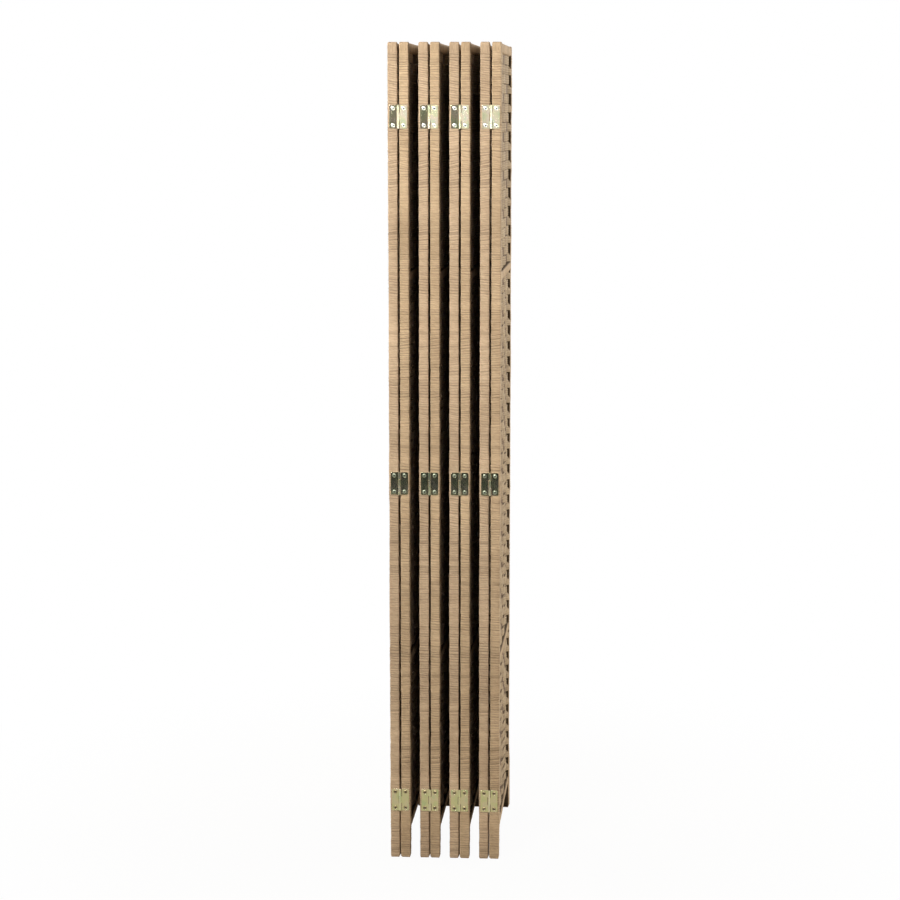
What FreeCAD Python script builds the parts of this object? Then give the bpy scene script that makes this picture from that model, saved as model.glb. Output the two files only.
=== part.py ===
"""Folding screen of eight woven panels, folded in a zigzag.

Each panel is a wooden frame wound with rope, with three fields of rope woven over upright stakes.
Butt hinges on the panel edges join neighbours, at the near edge and the far edge in turn.
X runs across the stack of panels, Y along a folded panel and Z up. Millimetres and degrees.
"""
import os

import FreeCAD
import Part
import Sketcher

PANELS = 8
STAKES = 11
HINGE_HEIGHTS = ("hinge_low", "hinge_mid", "hinge_high")

os.makedirs("parts", exist_ok=True)
doc = FreeCAD.newDocument("folding_screen")

# Driving dimensions
sizes = doc.addObject("Spreadsheet::Sheet", "sizes")
driving = {
    "panel_height": 1800,
    "panel_width": 400,
    "panel_thick": 21,
    "panel_slit": 2.6,
    "rest_tilt": 1.327,
    "wrap_thick": 1.5,
    "wrap_ease": 2,
    "stile_face": 24,
    "rail_face": 22,
    "rail_thick": 17,
    "foot_bare": 1,
    "leg_height": 57,
    "low_rail_height": 436,
    "high_rail_height": 1289,
    "weave_thick": 11,
    "stake_wide": 8,
    "stake_thick": 5,
    "hinge_tall": 50,
    "hinge_low": 134,
    "hinge_mid": 850,
    "hinge_high": 1643,
    "leaf_wide": 16,
    "leaf_thick": 1.2,
    "pin_radius": 1.5,
    "pin_clear": 0.05,
    "knuckle_wall": 1,
    "knuckle_rise": 0.5,
    "knuckle_gap": 0.3,
}
for row, (alias, value) in enumerate(driving.items(), start=1):
    sizes.set(f"A{row}", alias)
    sizes.set(f"B{row}", str(value))
    sizes.setAlias(f"B{row}", alias)
doc.recompute()


def formula(text):
    """Writes the sheet's name before each driving dimension in a formula."""
    words = text.replace("(", "( ").replace(")", " )").split(" ")
    return " ".join("sizes." + word if word in driving else word for word in words)


def bind(thing, formulas):
    for name, text in formulas.items():
        thing.setExpression(name, formula(text))
    return thing


def place(thing, x="0", y="0", z="0"):
    return bind(thing, {"Placement.Base.x": x, "Placement.Base.y": y, "Placement.Base.z": z})


def box(name, size, corner):
    """A block with its size and its lowest corner as formulas for X, Y and Z."""
    block = doc.addObject("Part::Box", name)
    bind(block, {"Length": size[0], "Width": size[1], "Height": size[2]})
    return place(block, *corner)


def rod(name, radius, height, base_z):
    """A round bar on the Z axis."""
    bar = doc.addObject("Part::Cylinder", name)
    bind(bar, {"Radius": radius, "Height": height})
    return place(bar, z=base_z)


def knuckle(name, height, base_z):
    """A rolled knuckle on the Z axis, drawn with twelve sides because there are so many."""
    barrel = doc.addObject("Part::Prism", name)
    barrel.Polygon = 12
    bind(barrel, {"Circumradius": KNUCKLE_RADIUS, "Height": height})
    return place(barrel, z=base_z)


def group(name, members):
    compound = doc.addObject("Part::Compound", name)
    compound.Links = members
    return compound


def fuse(name, members):
    union = doc.addObject("Part::MultiFuse", name)
    union.Shapes = members
    return union


def cut(name, base, tool):
    difference = doc.addObject("Part::Cut", name)
    difference.Base = base
    difference.Tool = tool
    return difference


def rectangle(sketch, name, wide, deep):
    """Adds a rectangle centred on the sketch's origin, with both sides bound."""
    corners = [FreeCAD.Vector(x, y, 0) for x, y in ((-5, -5), (5, -5), (5, 5), (-5, 5))]
    sides = [
        sketch.addGeometry(Part.LineSegment(corners[i], corners[(i + 1) % 4]), False)
        for i in range(4)
    ]
    for i in range(4):
        sketch.addConstraint(Sketcher.Constraint("Coincident", sides[i], 2, sides[(i + 1) % 4], 1))
        level = "Horizontal" if i % 2 == 0 else "Vertical"
        sketch.addConstraint(Sketcher.Constraint(level, sides[i]))
    sketch.addConstraint(Sketcher.Constraint("Symmetric", sides[0], 1, sides[2], 1, -1, 1))
    across = sketch.addConstraint(Sketcher.Constraint("DistanceX", sides[0], 1, sides[0], 2, 10))
    along = sketch.addConstraint(Sketcher.Constraint("DistanceY", sides[1], 1, sides[1], 2, 10))
    sketch.renameConstraint(across, name + "_wide")
    sketch.renameConstraint(along, name + "_deep")
    bind(sketch, {"Constraints." + name + "_wide": wide, "Constraints." + name + "_deep": deep})


def profile(body, name, wide, deep):
    """A centred rectangle on the body's own XY plane."""
    sketch = body.newObject("Sketcher::SketchObject", name)
    base = [f for f in body.Origin.OriginFeatures if f.Role == "XY_Plane"][0]
    sketch.AttachmentSupport = [(base, "")]
    sketch.MapMode = "FlatFace"
    rectangle(sketch, "side", wide, deep)
    return sketch


def sleeve(name, outer, inner, length, hollow):
    """A rope winding round a bar: a block on Z = 0 with eased long edges, hollowed from below."""
    body = doc.addObject("PartDesign::Body", name)
    pad = body.newObject("PartDesign::Pad", name + "_pad")
    pad.Profile = profile(body, name + "_outline", *outer)
    bind(pad, {"Length": length})
    doc.recompute()
    corners = [
        f"Edge{i}"
        for i, found in enumerate(pad.Shape.Edges, start=1)
        if found.BoundBox.ZLength > found.BoundBox.XLength + found.BoundBox.YLength
    ]
    eased = body.newObject("PartDesign::Chamfer", name + "_edges")
    eased.Base = (pad, corners)
    bind(eased, {"Size": "wrap_ease"})
    doc.recompute()
    full = eased.Shape.Volume
    pocket = body.newObject("PartDesign::Pocket", name + "_hollow")
    pocket.Profile = profile(body, name + "_core", *inner)
    pocket.Reversed = True
    bind(pocket, {"Length": hollow})
    doc.recompute()
    if pocket.Shape.Volume > 0.9 * full:
        raise RuntimeError(name + " was not hollowed")
    return body


# Repeated formulas
CORE_THICK = "( panel_thick - 2 * wrap_thick )"
CORE_FACE = "( stile_face - 2 * wrap_thick )"
RAIL_CORE_THICK = "( rail_thick - 2 * wrap_thick )"
RAIL_CORE_FACE = "( rail_face - 2 * wrap_thick )"
FIELD_WIDE = "( panel_width - 2 * stile_face )"
RAIL_CORE_LONG = "( panel_width - 2 * stile_face + 2 * wrap_thick )"
RAIL_BASES = {
    "bottom_rail": "leg_height",
    "low_rail": "low_rail_height",
    "high_rail": "high_rail_height",
    "top_rail": "( panel_height - rail_face )",
}
KNUCKLE_RADIUS = "( pin_radius + knuckle_wall )"
AXIS_OUT = "( pin_radius + knuckle_wall + knuckle_rise )"
HALF_STEP = "( ( panel_thick + panel_slit ) / 2 )"
REACH = "( panel_width / 2 + pin_radius + knuckle_wall + knuckle_rise )"

# Wooden frame of one panel
stiles = []
for end, side in (("near", -1), ("far", 1)):
    middle = f"{side} * ( panel_width - stile_face ) / 2"
    stiles.append(
        box(
            end + "_stile",
            (CORE_THICK, CORE_FACE, "panel_height - wrap_thick"),
            (f"0 - {CORE_THICK} / 2", f"{middle} - {CORE_FACE} / 2", "0"),
        )
    )
rails = [
    box(
        name,
        (RAIL_CORE_THICK, RAIL_CORE_LONG, RAIL_CORE_FACE),
        (f"0 - {RAIL_CORE_THICK} / 2", f"0 - {RAIL_CORE_LONG} / 2", f"{base} + wrap_thick"),
    )
    for name, base in RAIL_BASES.items()
]

# Rope wound round the rails and the stiles, over the stile tops and open where the rails come through
windings = []
for end, side in (("near", -1), ("far", 1)):
    tube = sleeve(
        end + "_stile_tube",
        ("panel_thick", "stile_face"),
        (CORE_THICK, CORE_FACE),
        "panel_height - foot_bare",
        "panel_height - foot_bare - wrap_thick",
    )
    place(tube, y=f"{side} * ( panel_width - stile_face ) / 2", z="foot_bare")
    windows = [
        box(
            f"{end}_window_{name}",
            (RAIL_CORE_THICK, "2 * wrap_thick", RAIL_CORE_FACE),
            (
                f"0 - {RAIL_CORE_THICK} / 2",
                f"{-side} * ( stile_face - panel_width / 2 ) - wrap_thick",
                f"{base} + wrap_thick",
            ),
        )
        for name, base in RAIL_BASES.items()
    ]
    windings.append(cut(end + "_stile_winding", tube, group(end + "_windows", windows)))
for name, base in RAIL_BASES.items():
    tube = sleeve(
        name + "_winding",
        ("rail_thick", "rail_face"),
        (RAIL_CORE_THICK, RAIL_CORE_FACE),
        FIELD_WIDE,
        FIELD_WIDE,
    )
    tube.Placement.Rotation = FreeCAD.Rotation(FreeCAD.Vector(1, 0, 0), -90)
    place(tube, y=f"0 - {FIELD_WIDE} / 2", z=f"{base} + rail_face / 2")
    windings.append(tube)

# Woven fields between the rails: rope bands on both faces that turn round the outermost stakes
weave = []
stakes = []
rail_names = list(RAIL_BASES)
turn = "( ( weave_thick - stake_thick ) / 2 )"
for number, (below, above) in enumerate(zip(rail_names, rail_names[1:]), start=1):
    floor = f"( {RAIL_BASES[below]} + rail_face )"
    tall = f"( {RAIL_BASES[above]} - {RAIL_BASES[below]} - rail_face )"
    outside = box(
        f"field_{number}_outside",
        ("weave_thick", FIELD_WIDE, tall),
        ("0 - weave_thick / 2", f"0 - {FIELD_WIDE} / 2", floor),
    )
    inside = box(
        f"field_{number}_inside",
        ("stake_thick", f"{FIELD_WIDE} - 2 * {turn}", tall),
        ("0 - stake_thick / 2", f"{turn} - {FIELD_WIDE} / 2", floor),
    )
    weave.append(cut(f"field_{number}", outside, inside))
    for place_number in range(1, STAKES + 1):
        centre = f"( {place_number} / {STAKES + 1} - 0.5 ) * {FIELD_WIDE}"
        stakes.append(
            box(
                f"field_{number}_stake_{place_number}",
                ("stake_thick", "stake_wide", tall),
                ("0 - stake_thick / 2", f"{centre} - stake_wide / 2", floor),
            )
        )


# Hinge leaves, each in a frame whose Z axis is the hinge axis, with the panel edge on the +Y side
def leaf(name, side, knuckles):
    """A leaf on one side of the axis, with its knuckles as (base, height) formulas."""
    outer_end = f"( {AXIS_OUT} + leaf_wide )"
    start = f"0 - {outer_end}" if side < 0 else AXIS_OUT
    sheet = f"{AXIS_OUT} - leaf_thick"
    pieces = [
        box(
            name + "_plate",
            ("leaf_wide", "leaf_thick", "hinge_tall"),
            (start, sheet, "0 - hinge_tall / 2"),
        )
    ]
    for number, (base, height) in enumerate(knuckles, start=1):
        lug_start = f"0 - {AXIS_OUT}" if side < 0 else "0"
        pieces.append(
            box(
                f"{name}_lug_{number}",
                (AXIS_OUT, "leaf_thick", height),
                (lug_start, sheet, base),
            )
        )
        pieces.append(knuckle(f"{name}_knuckle_{number}", height, base))
    return pieces


third = "( hinge_tall / 3 )"
end_knuckle = f"( {third} - knuckle_gap )"
pin_leaves = []
bore_leaves = []
for height in HINGE_HEIGHTS:
    pin_name = height + "_pin_leaf"
    pieces = leaf(
        pin_name,
        -1,
        (("0 - hinge_tall / 2", end_knuckle), (f"{third} / 2 + knuckle_gap", end_knuckle)),
    )
    pieces.append(rod(pin_name + "_pin", "pin_radius", "hinge_tall", "0 - hinge_tall / 2"))
    pin_leaves.append(place(fuse(pin_name, pieces), HALF_STEP, f"0 - {REACH}", height))

    bore_name = height + "_bore_leaf"
    pieces = leaf(bore_name, 1, ((f"0 - {third} / 2", third),))
    bore = rod(bore_name + "_bore", "pin_radius + pin_clear", "hinge_tall", "0 - hinge_tall / 2")
    blank = fuse(bore_name + "_blank", pieces)
    bore_leaves.append(place(cut(bore_name, blank, bore), f"0 - {HALF_STEP}", f"0 - {REACH}", height))


def far_edge(name, near_edge):
    """The same leaves on the panel's other edge."""
    image = doc.addObject("Part::Mirroring", name)
    image.Source = near_edge
    image.Base = FreeCAD.Vector(0, 0, 0)
    image.Normal = FreeCAD.Vector(0, 1, 0)
    return image


near_pins = group("near_pins", pin_leaves)
near_bores = group("near_bores", bore_leaves)
far_pins = far_edge("far_pins", near_pins)
far_bores = far_edge("far_bores", near_bores)

# The eight panels stand at equal steps and lean to the left and right in turn
STEP = (
    "( ( panel_thick + panel_slit ) * cos( rest_tilt * 1 deg )"
    f" + 2 * {REACH} * sin( rest_tilt * 1 deg ) )"
)
nodes = []


def node(label, members, number):
    """A sub-part of one panel, at that panel's place."""
    part = group(label, members)
    part.Label = label
    place(part, x=f"{number - (PANELS + 1) / 2} * {STEP}")
    lean = 1 if number % 2 else -1
    bind(part, {"Placement.Rotation.Angle": f"{lean} * rest_tilt * 1 deg"})
    nodes.append(part)


for number in range(1, PANELS + 1):
    node(f"panel_{number}_stiles", stiles, number)
    node(f"panel_{number}_rails", rails, number)
    node(f"panel_{number}_wrapping", windings, number)
    node(f"panel_{number}_stakes", stakes, number)
    node(f"panel_{number}_weave", weave, number)
for number in range(1, PANELS):
    near = number % 2 == 1
    node(f"hinge_{number}_pin_leaves", [near_pins if near else far_pins], number)
    node(f"hinge_{number}_bore_leaves", [near_bores if near else far_bores], number + 1)

doc.recompute()
for thing in doc.Objects:
    if "Invalid" in thing.State or "Error" in thing.State:
        raise RuntimeError(f"{thing.Name} failed: {thing.State}")
for part in nodes:
    if part.Shape.isNull() or not part.Shape.isValid():
        raise RuntimeError(f"{part.Label} has no valid shape")
    part.Shape.exportStep(os.path.join("parts", part.Label + ".step"))
print(len(nodes), "nodes,", sum(len(part.Shape.Solids) for part in nodes), "solids")
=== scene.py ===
"""Dresses the folding screen with rope, weave, hinges and screws, and sets up its studio."""

import math
import random
from types import SimpleNamespace

import bmesh
import bpy
from mathutils import Matrix, Vector


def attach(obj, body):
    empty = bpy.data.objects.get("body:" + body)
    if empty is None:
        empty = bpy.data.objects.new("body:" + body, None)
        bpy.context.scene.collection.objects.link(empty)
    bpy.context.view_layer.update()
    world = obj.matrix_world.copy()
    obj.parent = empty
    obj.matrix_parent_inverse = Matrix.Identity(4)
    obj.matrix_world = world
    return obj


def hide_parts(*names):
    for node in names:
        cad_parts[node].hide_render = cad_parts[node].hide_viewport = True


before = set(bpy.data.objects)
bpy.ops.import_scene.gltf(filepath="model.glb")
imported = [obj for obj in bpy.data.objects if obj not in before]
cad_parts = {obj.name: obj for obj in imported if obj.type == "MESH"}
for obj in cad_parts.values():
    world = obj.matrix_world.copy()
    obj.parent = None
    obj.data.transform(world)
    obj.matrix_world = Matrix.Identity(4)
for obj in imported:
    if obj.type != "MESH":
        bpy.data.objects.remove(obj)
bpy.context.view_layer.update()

# Sizes of the screen in metres, the same as in the solids
PANELS = 8
STAKES = 11
HEIGHT = 1.8
WIDTH = 0.4
THICK = 0.021
STILE = 0.024
RAIL_TALL = 0.022
RAIL_THICK = 0.017
FOOT = 0.001
SLIT = 0.0026
FIELD = WIDTH - 2 * STILE
LEAN = math.radians(1.327)
RAIL_FEET = (0.057, 0.436, 1.289, HEIGHT - RAIL_TALL)
HINGE_HEIGHTS = (0.134, 0.85, 1.643)
HALF_STEP = (THICK + SLIT) / 2
AXIS_OUT = 0.003
REACH = WIDTH / 2 + AXIS_OUT
STEP = 2 * (HALF_STEP * math.cos(LEAN) + REACH * math.sin(LEAN))

# The stile with its winding: a little slimmer than its sleeve, and set away from the slit
ROPE = 0.0052
WOUND_THICK = THICK - 0.0003
SLIT_SHIFT = 0.0003
OUTER_CORNER = 0.0028
INNER_CORNER = 0.0025
STILE_ARCS = 3
FOOT_ROUND = 0.002
HEAD_ROUND = 0.005

# Below the lowest hinge a leg is fuller towards its slit: for each side of the slit, how much on the
# leg's outer half and how much on its inner half. The swell starts at LEG_TOP and is full LEG_FADE lower,
# where the turns also lie more evenly.
LEG_SWELLS = {-1: (0.0014, 0.0), 1: (0.0, 0.0020)}
LEG_TOP = 0.145
LEG_FADE = 0.03
LEG_EVENNESS = 0.8

# The rope's lower end is tucked under near the foot and bulges there
SEAM_HEIGHT = 0.034
SEAM_SPREAD = 0.006
SEAM_RISE = 0.0004

# The rail's winding, which runs a little into the stiles
RAIL_CORNER = 0.0045
RAIL_ARCS = 2
RAIL_TUCK = 0.0005

# A turn of rope has two crest rings and ends in a groove ring, at these shares of its height
TURN_PARTS = (0.26, 0.74, 1.0)
RINGS_A_TURN = len(TURN_PARTS)
EASED_RINGS = 6
END_EASE = 0.0006
GROOVE_DEPTH = 0.0003
OPEN_DEPTH = 0.0008

# How the turns vary: height, lean, width and how far they stand proud
GAP_SPREAD = 0.20
LEAST_GAP = 0.5
LEAN_STEP = 0.00030
SWELL_STEP = 0.00015
SWELL_RANGE = (-0.0002, 0.0006)
PROUD_SPREAD = 0.00014
OPEN_STEP = 0.16

# How their tone varies from turn to turn and slowly along the bar, and the shade painted into the grooves
# and on the side against the weave
TONE_SPREAD = 0.04
DARK_TURNS = 0.05
DARK_TONE = 0.82
DRIFT_STEP = 0.012
GROOVE_SHADES = (0.10, 0.66)
CLOSED_SHADE = 0.3
OPEN_SHADE = 0.9
DEEPEST_SHADE = 0.5
# Shade painted on a bar's side that lies against the weave, and how squarely a side must face the weave
# to get it
PAINTED_WEAVE_SHADE = 0.20
FACING = 0.6

# Strands over the top end of a stile: their run, its upright part, its bend, their relief and the shade
# painted in their grooves
CAP_STRANDS = 7
CAP_STEPS = 20
CAP_LONG = 0.054
CAP_UPRIGHT = 0.028
CAP_BEND = 0.006
CAP_EASE = 0.0016
CAP_STAGGER = 0.007
CAP_RISE = 0.010
CAP_FALL = 0.008
CAP_CREST = 0.0013
CAP_SUNK = 0.0006
CAP_GROOVE = 0.0005
CAP_GROOVE_PAINTED_SHADE = 0.82
CAP_ROOT = 0.0018

# The woven fields from below: the bands of each, and the face on which its first band ends
FIELD_BANDS = ((22, 0), (46, 0), (22, 1))
TWILL = 4
BAND_ROPES = 4
SPAN_STEPS = 3
BAND_FILL = 0.985
BAND_TUCK = 0.002
STAKE_REACH = 0.0041
END_REACH = 0.0090
BAND_JITTER = 0.00025
BAND_SWAY = 0.0005
BAND_CREST = 0.0017
BAND_GROOVE = 0.0008
BAND_EDGE = 0.0005
# Shade painted in the grooves between a band's ropes
BAND_GROOVE_PAINTED_SHADE = 0.70
# The twist of a band's ends: how much faster its lowest rope turns to the stile than its highest
END_TWIST = 1.0

# A hinge in a frame whose Z axis is the hinge axis, with the panel edge on the +Y side
LEAF_TALL = 0.05
LEAF_WIDE = 0.016
LEAF_THICK = 0.0012
LEAF_CORNER = 0.0028
LEAF_EDGE = 0.00022
LEAF_GAP = 0.0006
KNUCKLE = 0.0025
KNUCKLE_GAP = 0.0003
KNUCKLE_EASE = 0.0002
KNUCKLE_SIDES = 24
PIN = 0.0016
PIN_PROUD = 0.0004
PIN_EASE = 0.0003
PIN_SIDES = 20
LEAF_CREASE = math.radians(20)

# Screws: their place on a leaf, the countersink, and the radius and rise of the head's outline
SCREW_RISE = 0.018
SCREW_SIDE = AXIS_OUT + 0.0082
SINK_FOOT = 0.0024
SINK_MOUTH = 0.0054
SINK_DEEP = 0.0024
SINK_SET = 0.0004
SINK_SIDES = 24
SCREW_OUTLINE = (
    (0.0, 0.00085),
    (0.0012, 0.00080),
    (0.0038, 0.00018),
    (0.0042, -0.00010),
    (0.0026, -0.0010),
    (0.0, -0.0010),
)
SCREW_SIDES = 20
SCREW_CREASE = math.radians(35)

# The cross recess: its arms, how they narrow downwards, its round well, and what counts as its wall
RECESS_ARM = (0.0060, 0.0016)
RECESS_TAPER = (0.3, 0.7, 1.0)
RECESS_TALL = 0.0026
RECESS_LIFT = 0.0008
WELL_FOOT = 0.0008
WELL_MOUTH = 0.0030
WELL_SIDES = 12
WALL_SLOPE = 0.85
WALL_LOWEST = -0.0008
WALL_RADIUS = 0.0030

# Seeds of the random draws, two of them so that neighbouring panels differ
EVEN_SEED = 11
ODD_SEED = 47
SCREW_SEED = 5

TOUCH = 1e-6
HALF_TURN = Matrix.Rotation(math.pi, 4, "Z")


def panel_place(number):
    """The matrix that carries a panel from its own frame to its place in the folded screen."""
    side = 1 if number % 2 else -1
    shift = Matrix.Translation(((number - (PANELS + 1) / 2) * STEP, 0, 0))
    return shift @ Matrix.Rotation(side * LEAN, 4, "Z")


# Materials

def nodes_of(name):
    """A new material, its node tree and its shader."""
    material = bpy.data.materials.new(name)
    material.use_nodes = True
    tree = material.node_tree
    return material, tree, tree.nodes["Principled BSDF"]


def noise(tree, scale, detail=3.0, rough=0.5, slant=(0, 0, 0)):
    """A noise over the piece's own coordinates, of scale cells per metre and turned by slant."""
    place = tree.nodes.new("ShaderNodeTexCoord")
    stretch = tree.nodes.new("ShaderNodeMapping")
    stretch.vector_type = "TEXTURE"
    stretch.inputs["Scale"].default_value = [1 / s for s in scale]
    stretch.inputs["Rotation"].default_value = slant
    cloud = tree.nodes.new("ShaderNodeTexNoise")
    cloud.inputs["Scale"].default_value = 1.0
    cloud.inputs["Detail"].default_value = detail
    cloud.inputs["Roughness"].default_value = rough
    tree.links.new(place.outputs["Object"], stretch.inputs["Vector"])
    tree.links.new(stretch.outputs["Vector"], cloud.inputs["Vector"])
    return cloud.outputs["Fac"]


def ramp(tree, source, stops):
    """The colour that the source picks from stops, each a position and a colour."""
    strip = tree.nodes.new("ShaderNodeValToRGB")
    points = strip.color_ramp.elements
    while len(points) < len(stops):
        points.new(0.5)
    for point, (at, colour) in zip(points, stops):
        point.position = at
        point.color = (*colour, 1.0)
    tree.links.new(source, strip.inputs["Fac"])
    return strip.outputs["Color"]


def multiply(tree, first, second):
    """The product of two colours."""
    blend = tree.nodes.new("ShaderNodeMix")
    blend.data_type = "RGBA"
    blend.blend_type = "MULTIPLY"
    blend.inputs["Factor"].default_value = 1.0
    tree.links.new(first, blend.inputs["A"])
    tree.links.new(second, blend.inputs["B"])
    return blend.outputs["Result"]


def bump(tree, shader, source, strength, distance):
    """Relief in the shader from the source."""
    relief = tree.nodes.new("ShaderNodeBump")
    relief.inputs["Strength"].default_value = strength
    relief.inputs["Distance"].default_value = distance
    tree.links.new(source, relief.inputs["Height"])
    tree.links.new(relief.outputs["Normal"], shader.inputs["Normal"])


def rope_finish(name, dark, middle, light, along, slant):
    """Twisted paper rope, darker and duller where the mesh's tone attribute is low: it holds the ropes'
    own tone and the shade painted into grooves and against the weave.

    along is the stretch of its fibres in cells per metre, slant the turn of its twist.
    """
    material, tree, shader = nodes_of(name)
    fibres = ramp(
        tree, noise(tree, along, detail=4.0, rough=0.6), ((0.28, dark), (0.5, middle), (0.72, light))
    )
    finer = tuple(2.2 * s for s in along)
    strands = noise(tree, finer, detail=2.0, rough=0.6, slant=slant)
    twist = ramp(tree, strands, ((0.34, (0.80, 0.78, 0.76)), (0.56, (1.05, 1.05, 1.05))))
    patches = noise(tree, (9, 9, 9), detail=2.0)
    blotches = ramp(tree, patches, ((0.3, (0.86, 0.84, 0.82)), (0.7, (1.06, 1.06, 1.06))))
    # The tone attribute brings in each rope's own tone and the painted shade
    tone = tree.nodes.new("ShaderNodeAttribute")
    tone.attribute_name = "tone"
    shaded = multiply(tree, blotches, tone.outputs["Color"])
    colour = multiply(tree, multiply(tree, fibres, twist), shaded)
    tree.links.new(colour, shader.inputs["Base Color"])
    shader.inputs["Roughness"].default_value = 0.78
    # Sheen and specular fall with the tone, so darker ropes and the painted shade stay dull
    for socket, most in (("Sheen Weight", 0.04), ("Specular IOR Level", 0.22)):
        share = tree.nodes.new("ShaderNodeMath")
        share.operation = "MULTIPLY"
        share.inputs[1].default_value = most
        tree.links.new(tone.outputs["Fac"], share.inputs[0])
        tree.links.new(share.outputs[0], shader.inputs[socket])
    bump(tree, shader, strands, strength=0.5, distance=0.0006)
    return material


def grained_finish(name, dark, light):
    """A dull finish with an upright grain, for wood and, near black, for the shade painted into a screw's
    recess.
    """
    material, tree, shader = nodes_of(name)
    streaks = noise(tree, (160, 160, 5), detail=5.0, rough=0.6)
    grain = ramp(tree, streaks, ((0.3, dark), (0.7, light)))
    tree.links.new(grain, shader.inputs["Base Color"])
    shader.inputs["Roughness"].default_value = 0.6
    bump(tree, shader, noise(tree, (400, 400, 12)), strength=0.2, distance=0.0004)
    return material


def plated_finish(name, film_stops):
    """Zinc plate with a faintly coloured film over brushed steel."""
    material, tree, shader = nodes_of(name)
    film = ramp(tree, noise(tree, (55, 55, 42), detail=1.5), film_stops)
    tree.links.new(film, shader.inputs["Base Color"])
    shader.inputs["Metallic"].default_value = 1.0
    rough = tree.nodes.new("ShaderNodeMapRange")
    rough.inputs["To Min"].default_value = 0.03
    rough.inputs["To Max"].default_value = 0.09
    tree.links.new(noise(tree, (300, 300, 60)), rough.inputs["Value"])
    tree.links.new(rough.outputs["Result"], shader.inputs["Roughness"])
    bump(tree, shader, noise(tree, (120, 120, 90), detail=1.0), strength=0.010, distance=0.0004)
    return material


def darker_reflection_finish(name, dark, light):
    """Plated screw heads in a darker colour, which paints the darker reflections they show on the lower
    hinges.
    """
    material, tree, shader = nodes_of(name)
    stain = ramp(tree, noise(tree, (300, 300, 300), detail=2.0), ((0.3, dark), (0.7, light)))
    tree.links.new(stain, shader.inputs["Base Color"])
    shader.inputs["Metallic"].default_value = 1.0
    shader.inputs["Roughness"].default_value = 0.35
    return material


TWIST = math.radians(20)
UPRIGHT_TWIST = (TWIST, TWIST, 0)
LEVEL_TWIST = (TWIST, 0, TWIST)
STILE_FIBRES = (45, 45, 620)
RAIL_FIBRES = (45, 620, 45)
CAP_FIBRES = (620, 40, 40)
FIELD_FIBRES = (30, 30, 560)
TAN = ((0.405, 0.283, 0.164), (0.483, 0.347, 0.209), (0.550, 0.407, 0.254))
ROSY_TAN = ((0.415, 0.293, 0.180), (0.492, 0.357, 0.228), (0.560, 0.417, 0.276))
FIELD_TAN = ((0.36, 0.260, 0.150), (0.45, 0.333, 0.198), (0.53, 0.402, 0.250))
YELLOW_FILM = (
    (0.25, (0.61, 0.66, 0.43)),
    (0.45, (0.74, 0.70, 0.46)),
    (0.58, (0.78, 0.68, 0.52)),
    (0.75, (0.65, 0.69, 0.49)),
)
CLEAR_FILM = ((0.3, (0.90, 0.91, 0.80)), (0.7, (0.96, 0.94, 0.86)))

stile_ropes = (
    rope_finish("stile_rope", *TAN, STILE_FIBRES, UPRIGHT_TWIST),
    rope_finish("rosy_stile_rope", *ROSY_TAN, STILE_FIBRES, UPRIGHT_TWIST),
)
rail_rope = rope_finish("rail_rope", *TAN, RAIL_FIBRES, LEVEL_TWIST)
cap_ropes = (
    rope_finish("cap_rope", *TAN, CAP_FIBRES, LEVEL_TWIST),
    rope_finish("rosy_cap_rope", *ROSY_TAN, CAP_FIBRES, LEVEL_TWIST),
)
field_rope = rope_finish("field_rope", *FIELD_TAN, FIELD_FIBRES, UPRIGHT_TWIST)
frame_wood = grained_finish("frame_wood", (0.30, 0.19, 0.10), (0.47, 0.32, 0.19))
stake_wood = grained_finish("stake_wood", (0.20, 0.13, 0.07), (0.33, 0.22, 0.13))
plated = plated_finish("yellow_zinc", YELLOW_FILM)
bright = plated_finish("bright_zinc", CLEAR_FILM)
mid_reflection_zinc = darker_reflection_finish("zinc_mid_painted_reflection", (0.16, 0.18, 0.12), (0.30, 0.32, 0.23))
low_reflection_zinc = darker_reflection_finish("zinc_low_painted_reflection", (0.22, 0.16, 0.08), (0.36, 0.29, 0.16))
# Near black: the shade painted into the screws' cross recesses
recess_shade_finish = grained_finish("painted_recess_shade", (0.010, 0.009, 0.006), (0.025, 0.022, 0.015))

# The materials of every set of screws, in the order of their indices: the lower hinges' screws use darker
# copies that paint their darker reflections
SCREW_FINISHES = (bright, recess_shade_finish, mid_reflection_zinc, low_reflection_zinc)
BRIGHT, RECESS, MID_REFLECTION, LOW_REFLECTION = range(len(SCREW_FINISHES))


# Shaping helpers

def new_mesh(bm, name):
    """The bmesh as a mesh, its faces outward."""
    bmesh.ops.recalc_face_normals(bm, faces=bm.faces)
    mesh = bpy.data.meshes.new(name)
    bm.to_mesh(mesh)
    bm.free()
    return mesh


def piece(name, mesh, materials, body, nodes=()):
    """A finished piece that rides on a body and stands for the named solids."""
    thing = bpy.data.objects.new(name, mesh)
    bpy.context.collection.objects.link(thing)
    for material in materials:
        mesh.materials.append(material)
    mesh.shade_smooth()
    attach(thing, body)
    if nodes:
        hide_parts(*nodes)
    return thing


def add_mesh(bm, mesh, matrix=Matrix.Identity(4)):
    """Adds a moved copy of a mesh to a bmesh."""
    start = len(bm.verts)
    bm.from_mesh(mesh)
    bm.verts.ensure_lookup_table()
    bmesh.ops.transform(bm, matrix=matrix, verts=bm.verts[start:])


def copies(meshes, place, name):
    """One mesh made of moved copies of the given meshes."""
    bm = bmesh.new()
    for mesh, matrix in meshes:
        add_mesh(bm, mesh, place @ matrix)
    mesh = bpy.data.meshes.new(name)
    bm.to_mesh(mesh)
    bm.free()
    return mesh


def edges_along(bm, axis, least):
    """The edges that run more than least along an axis: 0 for X, 1 for Y and 2 for Z."""
    return [e for e in bm.edges if abs(e.verts[0].co[axis] - e.verts[1].co[axis]) > least]


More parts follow.
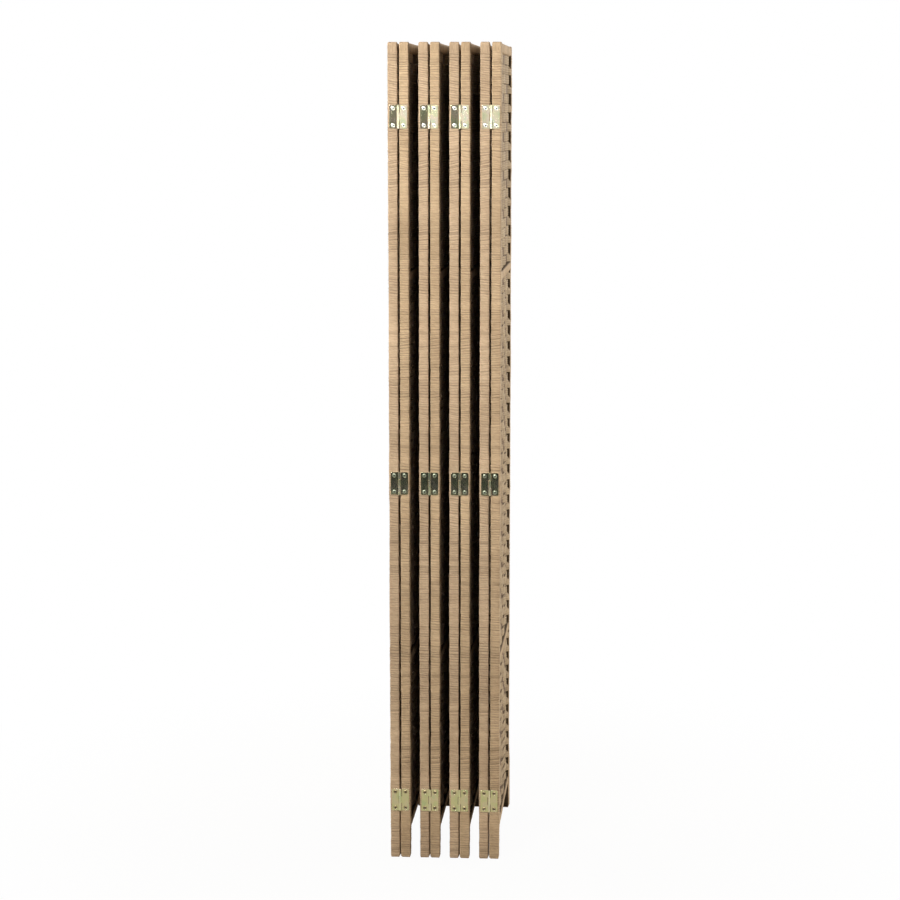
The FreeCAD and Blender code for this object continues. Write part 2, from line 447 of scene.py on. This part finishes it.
def rounded(bm, edges, radius, segments):
    """Rounds the edges of a bmesh."""
    bmesh.ops.bevel(
        bm, geom=edges, offset=radius, segments=segments, profile=0.5, affect="EDGES", material=-1
    )


def clamp(value, low, high):
    return max(low, min(high, value))


def wander(rng, count, step, keep=0.92):
    """A slow random walk that keeps near zero."""
    values, at = [], 0.0
    for _ in range(count):
        at = keep * at + rng.gauss(0, step)
        values.append(at)
    return values


def turn_tone(rng):
    """The tone of one rope, now and then a dark one."""
    tone = 1.0 + rng.gauss(0, TONE_SPREAD)
    if rng.random() < DARK_TURNS:
        tone *= DARK_TONE
    return tone


def rounding(distance, radius):
    """How far a rounded end of this radius lies inside its straight side."""
    if distance >= radius:
        return 0.0
    return radius - math.sqrt(max(0.0, radius**2 - (radius - distance) ** 2))


# Windings

def ringed_bar(thick, face, length, corners, arcs, rings):
    """A bar that stands on Z = 0, with rounded upright edges and cut into rings."""
    bm = bmesh.new()
    bmesh.ops.create_cube(bm, size=1.0)
    bmesh.ops.scale(bm, vec=(thick, face, length), verts=bm.verts)
    bmesh.ops.translate(bm, vec=(0, 0, length / 2), verts=bm.verts)
    for side, corner in zip((-1, 1), corners):
        uprights = edges_along(bm, 2, length / 2)
        edges = [e for e in uprights if e.verts[0].co.y * side > face / 2 - TOUCH]
        rounded(bm, edges, corner, segments=arcs)
    uprights = edges_along(bm, 2, length / 2)
    bmesh.ops.subdivide_edges(bm, edges=uprights, cuts=rings - 1, use_grid_fill=True)
    return bm


def rope_turns(rng, turns, length):
    """The heights of a winding's rings, and how each turn leans, swells, stands proud and looks."""
    gaps = [max(LEAST_GAP, 1 + rng.gauss(0, GAP_SPREAD)) for _ in range(turns)]
    scale = length / sum(gaps)
    heights = [0.0]
    for gap in gaps:
        start = heights[-1]
        heights += [start + gap * scale * part for part in TURN_PARTS]
    count = turns + 1
    lean_x = wander(rng, count, LEAN_STEP)
    lean_y = wander(rng, count, LEAN_STEP)
    swell = [clamp(w, *SWELL_RANGE) for w in wander(rng, count, SWELL_STEP)]
    drift = wander(rng, count, DRIFT_STEP)
    proud = [-abs(rng.gauss(0, PROUD_SPREAD)) for _ in range(count)]
    tones = [turn_tone(rng) + drift[turn] for turn in range(count)]
    opened = [clamp(0.5 + w, 0.0, 1.0) for w in wander(rng, count, OPEN_STEP)]
    # The shade painted into each groove, deeper where the groove is more open
    grooves = []
    for share in opened:
        painted_shade = rng.uniform(*GROOVE_SHADES) * (CLOSED_SHADE + OPEN_SHADE * share)
        grooves.append(1 - min(DEEPEST_SHADE, painted_shade))
    return SimpleNamespace(
        heights=heights,
        lean_x=lean_x,
        lean_y=lean_y,
        swell=swell,
        proud=proud,
        tones=tones,
        opened=opened,
        grooves=grooves,
    )


def outward(place, core_x, core_y):
    """The level direction from a bar's core to a place on its skin."""
    core = Vector((clamp(place.x, -core_x, core_x), clamp(place.y, -core_y, core_y), 0))
    out = Vector((place.x, place.y, 0)) - core
    out.normalize()
    return out


def wound_bar(name, thick, face, length, corners, arcs, seed, shaded, slit=0):
    """Rope wound turn beside turn round a bar that stands on Z = 0, thick along X and face along Y.

    The first corner radius is for the edges on the -Y side, the second for those on the +Y side.
    The side that shaded names, -1 for -Y and 1 for +Y, lies against the weave and has shade painted on
    it.
    A stile names the X side of its slit in the same way. It has round ends and a seam near its foot,
    and its leg is fuller on that side, so that two legs close the view through the slit.
    """
    turns = round(length / ROPE)
    rings = RINGS_A_TURN * turns
    lie = rope_turns(random.Random(seed), turns, length)
    bm = ringed_bar(thick, face, length, corners, arcs, rings)
    tone_and_shade_layer = bm.verts.layers.float.new("tone")
    for vert in bm.verts:
        ring = clamp(round(vert.co.z / length * rings), 0, rings)
        turn = ring // RINGS_A_TURN
        crest = ring % RINGS_A_TURN != 0
        height = lie.heights[ring]
        corner = corners[0] if vert.co.y < 0 else corners[1]
        out = outward(vert.co, thick / 2 - corner, face / 2 - corner)
        depth = lie.proud[turn] + lie.swell[turn] * abs(out.x)
        if not crest:
            depth -= GROOVE_DEPTH + OPEN_DEPTH * lie.opened[turn]
        if slit:
            flank = clamp((LEG_TOP - height) / LEG_FADE, 0.0, 1.0) * max(0.0, slit * out.x)
            depth *= 1 - LEG_EVENNESS * flank
            depth += LEG_SWELLS[slit][vert.co.y > 0] * flank
            depth -= rounding(height, FOOT_ROUND) + rounding(length - height, HEAD_ROUND)
            if height < 2 * SEAM_HEIGHT:
                bulge = math.exp(-(((height - SEAM_HEIGHT) / SEAM_SPREAD) ** 2))
                depth -= SEAM_RISE * (1 - bulge) * (1 - flank)
        if ring in (0, rings):
            depth -= END_EASE
        freedom = min(1.0, ring / EASED_RINGS, (rings - ring) / EASED_RINGS)
        lean = lie.lean_x[turn] * vert.co.x / thick + lie.lean_y[turn] * vert.co.y / face
        vert.co = Vector((vert.co.x, vert.co.y, height + lean * 2 * freedom)) + out * depth
        # Paint shade on the side that lies against the weave
        painted_shade = PAINTED_WEAVE_SHADE if shaded * out.y > FACING else 1.0
        # The ring's tone: the rope's own tone, with shade painted in the grooves and against the weave
        vert[tone_and_shade_layer] = lie.tones[turn] * painted_shade * (1.0 if crest else lie.grooves[turn])
    return new_mesh(bm, name)


def over_the_end(along, up):
    """The Y and Z of a strand that climbs a stile's outer face, bends and runs level to the rail."""
    past_bend = along - (CAP_UPRIGHT - CAP_BEND)
    quarter = CAP_BEND * math.pi / 2
    if past_bend < 0:
        return -up, HEIGHT - CAP_UPRIGHT + along
    if past_bend < quarter:
        turn = past_bend / CAP_BEND
        y = CAP_BEND - (CAP_BEND + up) * math.cos(turn)
        return y, HEIGHT - CAP_BEND + (CAP_BEND + up) * math.sin(turn)
    return CAP_BEND + past_bend - quarter, HEIGHT + up


def end_cap(name, seed):
    """Strands laid over the top end of a stile, from its outer edge face to the rail."""
    rng = random.Random(seed)
    columns = 2 * CAP_STRANDS
    wide = WOUND_THICK - CAP_EASE
    bm = bmesh.new()
    bmesh.ops.create_cube(bm, size=1.0)
    bmesh.ops.scale(bm, vec=(wide, CAP_LONG, CAP_ROOT), verts=bm.verts)
    across = edges_along(bm, 0, wide / 2)
    bmesh.ops.subdivide_edges(bm, edges=across, cuts=columns - 1, use_grid_fill=True)
    lengthwise = edges_along(bm, 1, CAP_LONG / 2)
    bmesh.ops.subdivide_edges(bm, edges=lengthwise, cuts=CAP_STEPS - 1, use_grid_fill=True)
    tone_and_shade_layer = bm.verts.layers.float.new("tone")
    tones = [turn_tone(rng) for _ in range(columns + 1)]
    stagger = [rng.uniform(0.0, CAP_STAGGER) for _ in range(columns + 1)]
    for vert in bm.verts:
        column = clamp(round((vert.co.x / wide + 0.5) * columns), 0, columns)
        crest = column % 2 == 1
        along = vert.co.y + CAP_LONG / 2
        taper = clamp(min(along / CAP_RISE, (CAP_LONG - along) / CAP_FALL), 0.0, 1.0)
        along += stagger[column] * max(0.0, 1 - along / CAP_UPRIGHT)
        if vert.co.z > 0:
            up = CAP_CREST * taper - CAP_SUNK - (0.0 if crest else CAP_GROOVE)
        else:
            up = -CAP_ROOT
        up -= rounding(WOUND_THICK / 2 - abs(vert.co.x), OUTER_CORNER)
        y, z = over_the_end(along, up)
        # The strand's tone, with shade painted in the grooves between strands
        vert[tone_and_shade_layer] = tones[column] * (1.0 if crest else CAP_GROOVE_PAINTED_SHADE)
        vert.co = Vector((vert.co.x, y - WIDTH / 2, z))
    return new_mesh(bm, name)


# Woven fields

def in_front(stake, band, middle):
    """A diamond twill: does the band pass in front of the stake?"""
    return (abs(stake - (STAKES + 1) // 2) + abs(band - middle)) % TWILL < TWILL // 2


def blank_band(columns, rows):
    """A unit block, cut into columns along Y and rows along Z."""
    bm = bmesh.new()
    bmesh.ops.create_cube(bm, size=1.0)
    level = edges_along(bm, 1, 0.5)
    bmesh.ops.subdivide_edges(bm, edges=level, cuts=columns - 1, use_grid_fill=True)
    uprights = edges_along(bm, 2, 0.5)
    bmesh.ops.subdivide_edges(bm, edges=uprights, cuts=rows - 1, use_grid_fill=True)
    mesh = bpy.data.meshes.new("blank_band")
    bm.to_mesh(mesh)
    bm.free()
    return mesh


def woven_field(name, low, high, bands, first, seed):
    """Bands of rope woven across the stakes.

    Their ends lie on one face of the stiles and on the other in turn.
    """
    rng = random.Random(seed)
    tall = (high - low) / bands
    rows = 2 * BAND_ROPES
    spans = STAKES + 1
    wide = 2 * (FIELD / 2 + BAND_TUCK)
    middle = bands // 2
    reach = [END_REACH] + [STAKE_REACH] * STAKES + [END_REACH]
    blank = blank_band(SPAN_STEPS * spans, rows)
    count = len(blank.vertices)
    bm = bmesh.new()
    tone_and_shade_layer = bm.verts.layers.float.new("tone")
    for band in range(bands):
        bm.from_mesh(blank)
        bm.verts.ensure_lookup_table()
        edge = 1 if (band + first) % 2 else -1
        inside = [1 if in_front(stake, band, middle) else -1 for stake in range(2, STAKES)]
        sides = [edge, -edge, *inside, -edge, edge]
        points = [side * far + rng.gauss(0, BAND_JITTER) for side, far in zip(sides, reach)]
        sway = [rng.gauss(0, BAND_SWAY) for _ in range(spans + 1)]
        tones = [turn_tone(rng) for _ in range(rows + 1)]
        centre = low + (band + 0.5) * tall
        for vert in bm.verts[band * count : (band + 1) * count]:
            across = (vert.co.y + 0.5) * spans
            span = min(spans - 1, int(across + TOUCH))
            part = across - span
            row = round((vert.co.z + 0.5) * rows)
            twist = 1 + END_TWIST * (0.5 - row / rows)
            if span == 0:
                part = 1 - min(1.0, (1 - part) * twist)
            elif span == spans - 1:
                part = min(1.0, part * twist)
            ease = (1 - math.cos(math.pi * part)) / 2
            x = points[span] + (points[span + 1] - points[span]) * ease
            rise = sway[span] + (sway[span + 1] - sway[span]) * ease
            crest = row % 2 == 1
            skin = BAND_CREST if crest else BAND_GROOVE
            if row in (0, rows):
                skin = BAND_EDGE
            side = 1 if vert.co.x > 0 else -1
            z = centre + vert.co.z * tall * BAND_FILL + rise
            vert.co = Vector((x + side * skin, vert.co.y * wide, z))
            # The rope's tone, with shade painted in the grooves between ropes
            vert[tone_and_shade_layer] = tones[row] * (1.0 if crest else BAND_GROOVE_PAINTED_SHADE)
    bpy.data.meshes.remove(blank)
    return new_mesh(bm, name)


# Hinges

def cut_away(base, tools):
    """The base mesh less the tool meshes."""
    body = bpy.data.objects.new("cut_body", base)
    bpy.context.collection.objects.link(body)
    helpers = []
    for tool in tools:
        helper = bpy.data.objects.new("cut_tool", tool)
        bpy.context.collection.objects.link(helper)
        helpers.append(helper)
        saw = body.modifiers.new("cut", "BOOLEAN")
        saw.operation = "DIFFERENCE"
        saw.solver = "EXACT"
        saw.object = helper
    shown = body.evaluated_get(bpy.context.evaluated_depsgraph_get())
    mesh = bpy.data.meshes.new_from_object(shown)
    for thing in (body, *helpers):
        bpy.data.objects.remove(thing)
    return mesh


def round_bar(name, radius, low, high, sides, ease):
    """An upright round bar with eased rims."""
    bm = bmesh.new()
    bmesh.ops.create_cone(
        bm, cap_ends=True, segments=sides, radius1=radius, radius2=radius, depth=high - low
    )
    bmesh.ops.translate(bm, vec=(0, 0, (low + high) / 2), verts=bm.verts)
    rims = [e for e in bm.edges if abs(e.verts[0].co.z - e.verts[1].co.z) < TOUCH]
    rounded(bm, rims, ease, segments=1)
    return new_mesh(bm, name)


def countersink(side, rise):
    """The cone that a screw head sits in, from the leaf's front face."""
    bm = bmesh.new()
    bmesh.ops.create_cone(
        bm, cap_ends=True, segments=SINK_SIDES, radius1=SINK_FOOT, radius2=SINK_MOUTH, depth=SINK_DEEP
    )
    bmesh.ops.rotate(bm, matrix=Matrix.Rotation(math.pi / 2, 3, "X"), verts=bm.verts)
    front = AXIS_OUT - LEAF_THICK
    bmesh.ops.translate(bm, vec=(side * SCREW_SIDE, front + SINK_SET, rise), verts=bm.verts)
    return new_mesh(bm, "countersink")


def leaf_plate(side):
    """A flat leaf with round outer corners, eased front edges and two countersunk holes."""
    bm = bmesh.new()
    bmesh.ops.create_cube(bm, size=1.0)
    bmesh.ops.scale(bm, vec=(LEAF_WIDE - LEAF_GAP, LEAF_THICK, LEAF_TALL), verts=bm.verts)
    middle = side * (AXIS_OUT + (LEAF_WIDE + LEAF_GAP) / 2)
    bmesh.ops.translate(bm, vec=(middle, AXIS_OUT - LEAF_THICK / 2, 0), verts=bm.verts)
    through = edges_along(bm, 1, LEAF_THICK / 2)
    outer = [e for e in through if abs(e.verts[0].co.x) > AXIS_OUT + LEAF_WIDE / 2]
    rounded(bm, outer, LEAF_CORNER, segments=5)
    inner_edge = AXIS_OUT + LEAF_GAP + TOUCH
    front = [
        e
        for e in bm.edges
        if all(v.co.y < AXIS_OUT - LEAF_THICK / 2 for v in e.verts)
        and not all(abs(v.co.x) < inner_edge for v in e.verts)
    ]
    rounded(bm, front, LEAF_EDGE, segments=2)
    return cut_away(new_mesh(bm, "plate"), [countersink(side, r) for r in (-SCREW_RISE, SCREW_RISE)])


def hinge_leaf(side, lugs):
    """A leaf's plate with a lug and a rolled knuckle at each of the given heights."""
    bm = bmesh.new()
    add_mesh(bm, leaf_plate(side))
    for low, high in lugs:
        start = len(bm.verts)
        bmesh.ops.create_cube(bm, size=1.0)
        bm.verts.ensure_lookup_table()
        lug = bm.verts[start:]
        bmesh.ops.scale(bm, vec=(AXIS_OUT + LEAF_GAP, LEAF_THICK, high - low), verts=lug)
        at = (side * (AXIS_OUT + LEAF_GAP) / 2, AXIS_OUT - LEAF_THICK / 2, (low + high) / 2)
        bmesh.ops.translate(bm, vec=at, verts=lug)
        add_mesh(bm, round_bar("knuckle", KNUCKLE, low, high, KNUCKLE_SIDES, KNUCKLE_EASE))
    return bm


def recess_cutters():
    """The two arms and the round well of a cross recess."""
    cutters = []
    for turn in (0, math.pi / 2):
        arm = bmesh.new()
        bmesh.ops.create_cube(arm, size=1.0)
        bmesh.ops.scale(arm, vec=(*RECESS_ARM, RECESS_TALL), verts=arm.verts)
        bmesh.ops.translate(arm, vec=(0, 0, RECESS_LIFT), verts=arm.verts)
        low = [v for v in arm.verts if v.co.z < 0]
        bmesh.ops.scale(arm, vec=RECESS_TAPER, verts=low)
        bmesh.ops.rotate(arm, matrix=Matrix.Rotation(turn, 3, "Z"), verts=arm.verts)
        cutters.append(new_mesh(arm, "recess"))
    well = bmesh.new()
    bmesh.ops.create_cone(
        well,
        cap_ends=True,
        segments=WELL_SIDES,
        radius1=WELL_FOOT,
        radius2=WELL_MOUTH,
        depth=RECESS_TALL,
    )
    bmesh.ops.translate(well, vec=(0, 0, RECESS_LIFT), verts=well.verts)
    cutters.append(new_mesh(well, "well"))
    return cutters


def screw_mesh():
    """A domed screw head with a cross recess, its axis along -Y and its rim at Y = 0."""
    bm = bmesh.new()
    verts = [bm.verts.new((radius, 0, rise)) for radius, rise in SCREW_OUTLINE]
    edges = [bm.edges.new(pair) for pair in zip(verts, verts[1:])]
    bmesh.ops.spin(
        bm,
        geom=verts + edges,
        axis=(0, 0, 1),
        cent=(0, 0, 0),
        angle=2 * math.pi,
        steps=SCREW_SIDES,
        use_merge=True,
    )
    bmesh.ops.remove_doubles(bm, verts=bm.verts, dist=TOUCH)
    mesh = cut_away(new_mesh(bm, "screw_head"), recess_cutters())
    # The recess faces take the near-black finish that paints the shade in it
    for face in mesh.polygons:
        wide = math.hypot(face.center.x, face.center.y)
        steep = face.normal.z < WALL_SLOPE or face.center.z < 0
        if steep and face.center.z > WALL_LOWEST and wide < WALL_RADIUS:
            face.material_index = RECESS
    mesh.transform(Matrix.Rotation(math.pi / 2, 4, "X"))
    return mesh


def refinished(screws, finish):
    """The same screws with their heads in another of the screws' finishes."""
    mesh = screws.copy()
    for face in mesh.polygons:
        if face.material_index == BRIGHT:
            face.material_index = finish
    return mesh


def hinge_sets():
    """The two leaves of a hinge and the screws of each, as meshes in the hinge's frame."""
    third = LEAF_TALL / 3
    ends = (
        (-LEAF_TALL / 2, -third / 2 - KNUCKLE_GAP),
        (third / 2 + KNUCKLE_GAP, LEAF_TALL / 2),
    )
    pin_end = LEAF_TALL / 2 + PIN_PROUD
    bm = hinge_leaf(-1, ends)
    add_mesh(bm, round_bar("pin", PIN, -pin_end, pin_end, PIN_SIDES, PIN_EASE))
    pin_leaf = new_mesh(bm, "pin_leaf")
    bore_leaf = new_mesh(hinge_leaf(1, ((-third / 2, third / 2),)), "bore_leaf")
    screw = screw_mesh()
    rng = random.Random(SCREW_SEED)
    screw_pairs = []
    for side in (-1, 1):
        moves = []
        for rise in (-SCREW_RISE, SCREW_RISE):
            at = Matrix.Translation((side * SCREW_SIDE, AXIS_OUT - LEAF_THICK, rise))
            moves.append((screw, at @ Matrix.Rotation(rng.uniform(0, math.pi), 4, "Y")))
        screw_pairs.append(copies(moves, Matrix.Identity(4), "screws"))
    return pin_leaf, bore_leaf, *screw_pairs


# The dress of a panel in its own frame

def stile_bars(seed, slit):
    """The windings of a panel's two stiles, and their places."""
    near, far = (
        wound_bar(
            "stile",
            thick=WOUND_THICK,
            face=STILE,
            length=HEIGHT - FOOT,
            corners=(OUTER_CORNER, INNER_CORNER),
            arcs=STILE_ARCS,
            seed=bar_seed,
            shaded=1,
            slit=slit,
        )
        for bar_seed in (seed, seed + 1)
    )
    middle = (WIDTH - STILE) / 2
    shift = -slit * SLIT_SHIFT
    return [
        (near, Matrix.Translation((shift, -middle, FOOT))),
        (far, Matrix.Translation((-shift, middle, FOOT)) @ HALF_TURN),
    ]


def stile_caps(seed, slit):
    """The strands over a panel's two stiles, and their places."""
    cap = end_cap("cap", seed)
    aside = Matrix.Translation((-slit * SLIT_SHIFT, 0, 0))
    return [(cap, aside), (cap, HALF_TURN @ aside)]


def rail_bars(seed):
    """The windings of a panel's four rails, and their places.

    All but the top one have shade painted on their upper side, where the weave meets them.
    """
    level = Matrix.Rotation(-math.pi / 2, 4, "X")
    bars = []
    for index, foot in enumerate(RAIL_FEET):
        bar = wound_bar(
            "rail",
            thick=RAIL_THICK,
            face=RAIL_TALL,
            length=FIELD + 2 * RAIL_TUCK,
            corners=(RAIL_CORNER, RAIL_CORNER),
            arcs=RAIL_ARCS,
            seed=seed + index,
            shaded=-1 if foot < RAIL_FEET[-1] else 0,
        )
        at = Matrix.Translation((0, -FIELD / 2 - RAIL_TUCK, foot + RAIL_TALL / 2))
        bars.append((bar, at @ level))
    return bars


def woven_fields(seed):
    """A panel's three woven fields, each between two rails."""
    fields = []
    for foot, above, (bands, first) in zip(RAIL_FEET, RAIL_FEET[1:], FIELD_BANDS):
        field = woven_field("field", foot + RAIL_TALL, above, bands, first, seed + bands + first)
        fields.append((field, Matrix.Identity(4)))
    return fields


def panel_dress(seed, slit):
    """One panel's dress in its own frame. slit is the X side of the slit at its near stile."""
    return SimpleNamespace(
        stiles=stile_bars(seed, slit),
        caps=stile_caps(seed + 2, slit),
        rails=rail_bars(seed + 5),
        fields=woven_fields(seed),
    )


def dress_panel(number, dress):
    """The windings, top strands and bands of a panel, and the finish of its wood."""
    place = panel_place(number)
    body = f"panel_{number}"
    label = body + "_"
    rope = stile_ropes[number % 2]
    winding = copies(dress.stiles, place, label + "stile_winding")
    piece(label + "stile_winding", winding, [rope], body, [label + "wrapping"])
    strands = copies(dress.caps, place, label + "top_strands")
    piece(label + "top_strands", strands, [cap_ropes[number % 2]], body)
    rails = copies(dress.rails, place, label + "rail_winding")
    piece(label + "rail_winding", rails, [rail_rope], body)
    fields = copies(dress.fields, place, label + "woven_bands")
    piece(label + "woven_bands", fields, [field_rope], body, [label + "weave"])
    for node, finish in (("stiles", frame_wood), ("rails", frame_wood), ("stakes", stake_wood)):
        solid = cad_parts[label + node]
        solid.data.materials.clear()
        solid.data.materials.append(finish)


def dress_leaves(label, panel, leaf, screws, spots):
    """A junction's three leaves on one panel, with screws whose colour paints their reflections, darker
    lower down: brown, dark and bright from below.
    """
    place = panel_place(panel)
    body = f"panel_{panel}"
    plates = copies([(leaf, spot) for spot in spots], place, label + "leaf_set")
    made = piece(label + "leaf_set", plates, [plated], body, [label + "leaves"])
    made.data.set_sharp_from_angle(angle=LEAF_CREASE)
    # The two lower screw sets take darker colours that paint darker reflections
    screw_sets = (refinished(screws, LOW_REFLECTION), refinished(screws, MID_REFLECTION), screws)
    heads = copies(zip(screw_sets, spots), place, label + "screws")
    made = piece(label + "screws", heads, SCREW_FINISHES, body)
    made.data.set_sharp_from_angle(angle=SCREW_CREASE)


# One dress for the even panels and one for the odd ones
versions = (panel_dress(EVEN_SEED, -1), panel_dress(ODD_SEED, 1))
for number in range(1, PANELS + 1):
    dress_panel(number, versions[number % 2])

# Odd junctions have their hinges on the near edges, even ones on the far edges
pin_leaf, bore_leaf, pin_screws, bore_screws = hinge_sets()
for number in range(1, PANELS):
    at_near_edge = number % 2 == 1
    flip = Matrix.Identity(4) if at_near_edge else Matrix.Rotation(math.pi, 4, "X")
    axis_y = -REACH if at_near_edge else REACH
    for kind, panel, leaf, screws, side in (
        ("pin", number, pin_leaf, pin_screws, 1),
        ("bore", number + 1, bore_leaf, bore_screws, -1),
    ):
        axis_x = side * HALF_STEP
        spots = [Matrix.Translation((axis_x, axis_y, height)) @ flip for height in HINGE_HEIGHTS]
        dress_leaves(f"hinge_{number}_{kind}_", panel, leaf, screws, spots)


# Studio

def maximum(tree, first, second):
    """The larger of two levels."""
    larger = tree.nodes.new("ShaderNodeMath")
    larger.operation = "MAXIMUM"
    tree.links.new(first, larger.inputs[0])
    tree.links.new(second, larger.inputs[1])
    return larger.outputs[0]


def seen_directly(tree):
    """1 where the camera looks, straight or in a mirror or glass, and 0 for other light."""
    path = tree.nodes.new("ShaderNodeLightPath")
    mirrored = maximum(tree, path.outputs["Is Camera Ray"], path.outputs["Is Glossy Ray"])
    return maximum(tree, mirrored, path.outputs["Is Transmission Ray"])


def floor_finish(name):
    """A pale floor that looks white, and keeps a faint shadow near the screen."""
    material, tree, shader = nodes_of(name)
    shader.inputs["Base Color"].default_value = (0.50, 0.44, 0.36, 1)
    shader.inputs["Roughness"].default_value = 0.9
    glow = tree.nodes.new("ShaderNodeEmission")
    glow.inputs["Strength"].default_value = 1.0
    place = tree.nodes.new("ShaderNodeTexCoord")
    far = tree.nodes.new("ShaderNodeVectorMath")
    far.operation = "LENGTH"
    tree.links.new(place.outputs["Object"], far.inputs[0])
    share = tree.nodes.new("ShaderNodeMapRange")
    share.interpolation_type = "SMOOTHSTEP"
    share.inputs["From Min"].default_value = 0.4
    share.inputs["From Max"].default_value = 1.5
    share.inputs["To Min"].default_value = 0.96
    share.inputs["To Max"].default_value = 1.0
    tree.links.new(far.outputs["Value"], share.inputs["Value"])
    amount = tree.nodes.new("ShaderNodeMath")
    amount.operation = "MULTIPLY"
    tree.links.new(share.outputs["Result"], amount.inputs[0])
    tree.links.new(seen_directly(tree), amount.inputs[1])
    mix = tree.nodes.new("ShaderNodeMixShader")
    tree.links.new(amount.outputs[0], mix.inputs["Fac"])
    tree.links.new(shader.outputs["BSDF"], mix.inputs[1])
    tree.links.new(glow.outputs["Emission"], mix.inputs[2])
    tree.links.new(mix.outputs["Shader"], tree.nodes["Material Output"].inputs["Surface"])
    return material


def card_finish(name, colour, level):
    """A glowing card for the metal to mirror, at an even level: it paints a reflection and lights
    nothing.
    """
    material, tree, _ = nodes_of(name)
    glow = tree.nodes.new("ShaderNodeEmission")
    glow.inputs["Color"].default_value = (*colour, 1)
    glow.inputs["Strength"].default_value = level
    tree.links.new(glow.outputs["Emission"], tree.nodes["Material Output"].inputs["Surface"])
    return material


def stage_sheet(name, place, size, material):
    """A flat sheet of the studio."""
    bm = bmesh.new()
    bmesh.ops.create_grid(bm, x_segments=1, y_segments=1, size=0.5)
    bmesh.ops.scale(bm, vec=(*size, 1), verts=bm.verts)
    bmesh.ops.transform(bm, matrix=place, verts=bm.verts)
    mesh = bpy.data.meshes.new(name)
    bm.to_mesh(mesh)
    bm.free()
    mesh.materials.append(material)
    sheet = bpy.data.objects.new(name, mesh)
    bpy.context.collection.objects.link(sheet)
    return sheet


def mirror_card(name, place, size, colour, level):
    """A glowing sheet that only mirrors show, painting a reflection on the metal."""
    card = stage_sheet(name, place, size, card_finish(name, colour, level))
    card.visible_camera = False
    card.visible_diffuse = False
    card.visible_shadow = False


def soft_light(name, at, aim, size, power, spread=180):
    """An area light at a place, aimed at another. size is its width and height, spread is in degrees."""
    lamp = bpy.data.lights.new(name, "AREA")
    lamp.shape = "RECTANGLE"
    lamp.size, lamp.size_y = size
    lamp.energy = power
    lamp.spread = math.radians(spread)
    thing = bpy.data.objects.new(name, lamp)
    thing.location = at
    thing.rotation_euler = (Vector(aim) - Vector(at)).to_track_quat("-Z", "Y").to_euler()
    bpy.context.collection.objects.link(thing)


def white_world(name, light):
    """A world that looks white and lights the screen at the given level."""
    world = bpy.data.worlds.new(name)
    world.use_nodes = True
    tree = world.node_tree
    back = tree.nodes["Background"]
    back.inputs["Color"].default_value = (1, 1, 1, 1)
    strength = tree.nodes.new("ShaderNodeMapRange")
    strength.inputs["To Min"].default_value = light
    strength.inputs["To Max"].default_value = 1.0
    tree.links.new(seen_directly(tree), strength.inputs["Value"])
    tree.links.new(strength.outputs["Result"], back.inputs["Strength"])
    return world


FLOOR = (18, 18)
LOW_CARD = (5.0, 0.84)
BRIGHT_CARD = (2.6, 0.6)
GREENISH = (0.86, 1.0, 0.92)
WHITE = (1.0, 1.0, 1.0)
stage_sheet("floor", Matrix.Identity(4), FLOOR, floor_finish("pale_floor"))

# Upright cards that paint reflections on the hinges: place, swing in degrees, size, colour and level
for name, at, swing, size, colour, level in (
    ("low_card", (0, -4.6, 0.44), 0, LOW_CARD, GREENISH, 0.045),
    ("left_card", (-3.9, -2.4, 0.44), -60, LOW_CARD, GREENISH, 0.22),
    ("right_card", (3.9, -2.4, 0.44), 60, LOW_CARD, GREENISH, 0.22),
    ("tall_card", (-0.39, -12.0, 1.6), 0, (0.86, 1.6), (1.0, 0.98, 0.9), 0.20),
    ("left_bright_card", (-2.9, -4.4, 1.65), -33, BRIGHT_CARD, WHITE, 1.8),
    ("right_bright_card", (3.2, -4.4, 1.65), 33, BRIGHT_CARD, WHITE, 1.8),
):
    stand = Matrix.Rotation(math.radians(swing), 4, "Z") @ Matrix.Rotation(math.pi / 2, 4, "X")
    mirror_card(name, Matrix.Translation(at) @ stand, size, colour, level)
# A warm glowing card just above the floor paints the reflection in the lowest hinges
mirror_card("floor_card", Matrix.Translation((0, -0.7, 0.002)), (0.9, 0.7), (1.0, 0.97, 0.70), 0.57)

bpy.context.scene.world = white_world("studio", light=0.18)

# Lights: place, aim, size, power in watts and spread in degrees
soft_light("key", (-1.3, -2.5, 2.9), (0, -0.2, 1.75), (1.3, 1.3), 35, 95)
soft_light("front_fill", (-0.7, -5.6, 2.4), (0, -0.2, 1.7), (1.0, 1.0), 8, 60)
soft_light("gap_fill", (0.9, -5.6, 1.3), (0, 0, 0.9), (0.6, 0.6), 1.5, 40)
soft_light("right_fill", (3.0, 0.6, 1.75), (0.1, 0, 1.0), (1.8, 1.8), 39, 130)
soft_light("left_fill", (-3.0, 0.9, 2.4), (-0.1, 0, 1.3), (1.8, 1.8), 38, 130)
soft_light("back_left", (-2.4, 3.0, 2.4), (0, 0.2, 1.2), (1.4, 1.6), 50)
soft_light("back_right", (2.4, 3.0, 2.4), (0, 0.2, 1.2), (1.4, 1.6), 50)

# The camera at the photograph's viewing angle
CAMERA_PLACE = (0.3073, -5.0119, 1.6591)
LOOK_DOWN = 8.659
LOOK_LEFT = 3.513
camera_data = bpy.data.cameras.new("camera")
camera_data.lens = 89.535
camera_data.sensor_width = 36.0
camera = bpy.data.objects.new("camera", camera_data)
camera.location = CAMERA_PLACE
camera.rotation_euler = (math.radians(90 - LOOK_DOWN), 0, math.radians(LOOK_LEFT))
bpy.context.collection.objects.link(camera)
bpy.context.scene.camera = camera

bpy.context.scene.view_settings.view_transform = "Standard"
